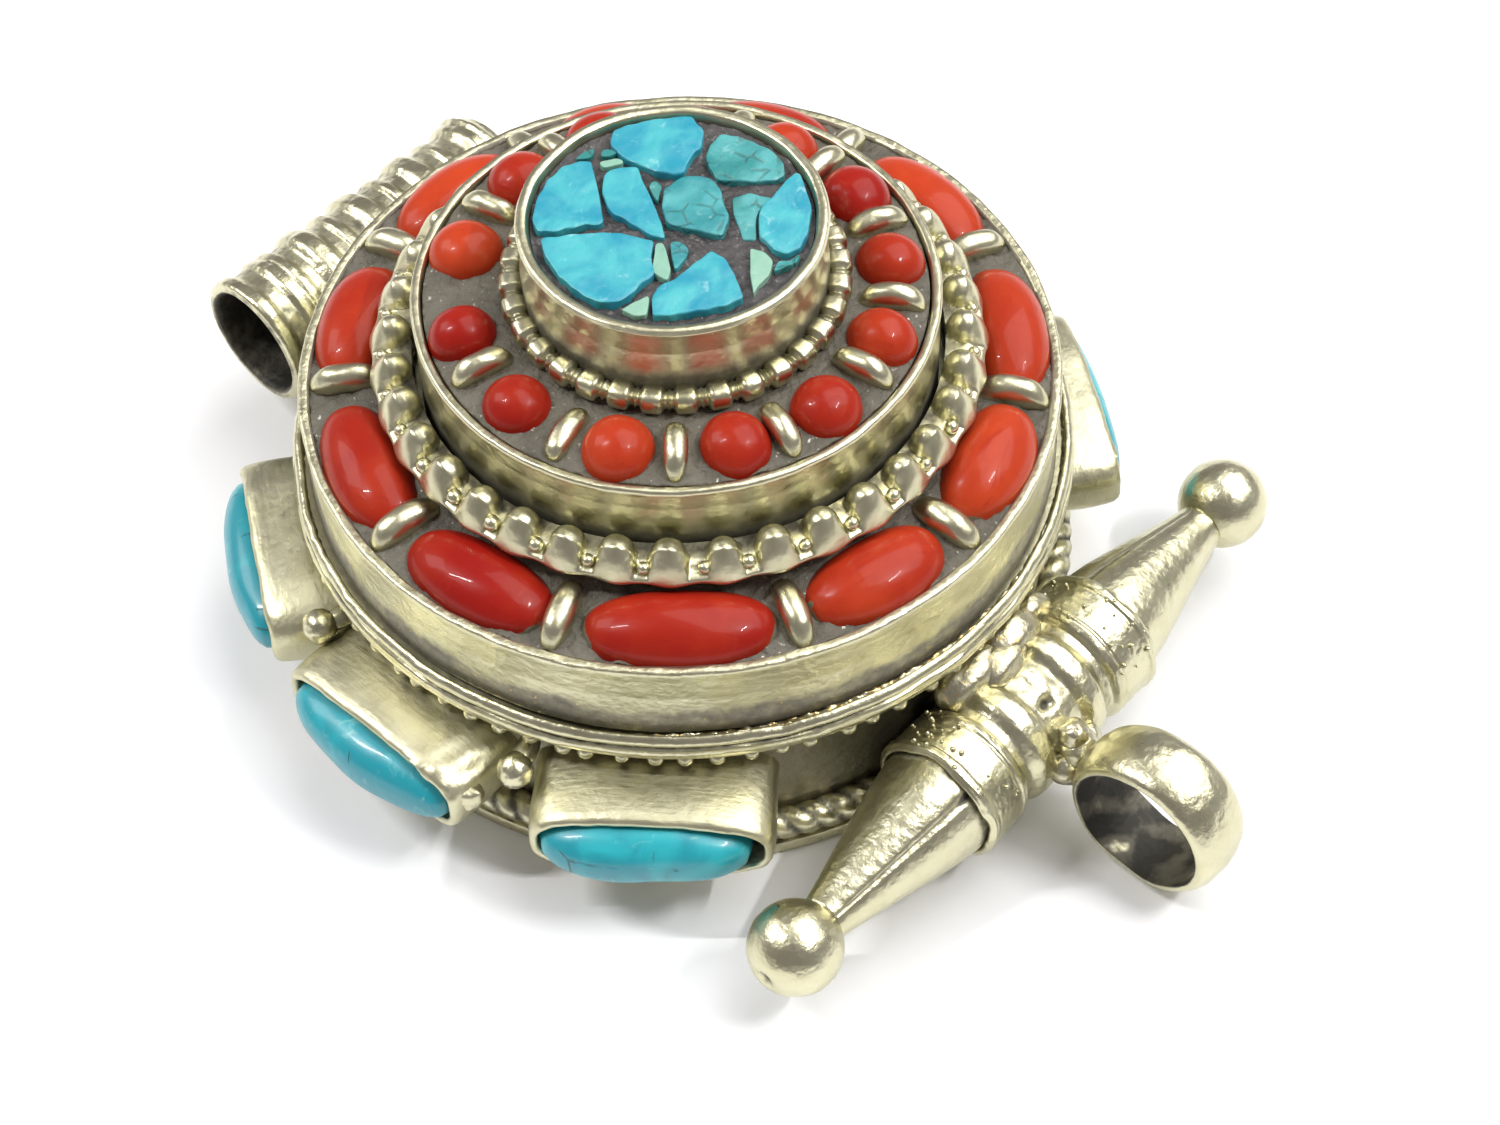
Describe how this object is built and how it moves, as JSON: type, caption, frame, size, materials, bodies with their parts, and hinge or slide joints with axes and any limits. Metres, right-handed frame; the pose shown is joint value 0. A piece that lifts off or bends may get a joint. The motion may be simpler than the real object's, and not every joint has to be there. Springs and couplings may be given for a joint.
{
  "type": "prayer wheel pendant",
  "caption": "Round silver pendant box with a stepped stone-set wheel that turns on a central pin, side bezels, ribbed tube, cone-ended barrel and hanging ring.",
  "frame": {"origin": "on the wheel axis, in the plane of the back face the pendant lies on", "axes": "+Z out of the stone-set face, +Y towards the barrel and hanging ring, +X to the right when looking at the face with the ring up"},
  "size_m": [0.0516, 0.0652, 0.0266],
  "materials": {
    "silver": "worn satin silver, oxidised in the recesses",
    "silver_bright": "polished silver",
    "silver_brushed": "brushed silver sheet",
    "silver_dark": "oxidised silver",
    "coral": "polished red coral",
    "turquoise": "polished turquoise with dark veins",
    "turquoise_chips": "ground turquoise chips",
    "cement": "dark setting cement",
    "resin": "black resin",
    "paper": "rolled paper",
    "wood": "plain turned wood",
    "thread": "cotton thread"
  },
  "bodies": {
    "cover": {"back_cover": "silver", "cover_skirt": "silver"},
    "case": {"drum_wall": "silver_dark", "deck": "silver", "rim_ring": "silver", "bead_wire": "silver_dark", "rope_wire": "silver_dark", "side_bezels": "silver_brushed", "side_stones": "turquoise", "drum_balls": "silver", "bail_tube": "silver", "bail_saddle": "silver_dark", "barrel": "silver", "barrel_rings": "silver", "granules": "silver", "finial_cones": "silver_bright", "finial_balls": "silver_bright", "barrel_saddle": "silver_dark", "hanging_ring": "silver", "ring_foot": "silver_dark", "axle": "silver", "thrust_washer": "silver", "retainer": "silver"},
    "wheel": {"band": "silver_brushed", "wheel_floor": "silver", "hub_bush": "silver", "scroll_core": "wood", "scroll": "paper", "scroll_tie": "thread", "shelf": "silver", "outer_bed": "cement", "outer_corals": "coral", "outer_leaves": "silver_bright", "scallop_ring": "silver_bright", "middle_wall": "silver_bright", "middle_tray": "silver", "middle_bed": "cement", "middle_corals": "coral", "middle_leaves": "silver_bright", "cup_beads": "silver_bright", "cup": "silver_bright", "cup_floor": "silver", "mosaic_bed": "resin", "mosaic_chips": "turquoise_chips"}
  },
  "joints": [
    {"name": "case_lift", "type": "slide", "parent": "cover", "child": "case", "axis": [0, 0, 1], "range_m": [0, 0.012]},
    {"name": "wheel_spin", "type": "hinge", "parent": "case", "child": "wheel", "pos_m": [0, 0, 0.012], "axis": [0, 0, 1], "continuous": true}
  ]
}
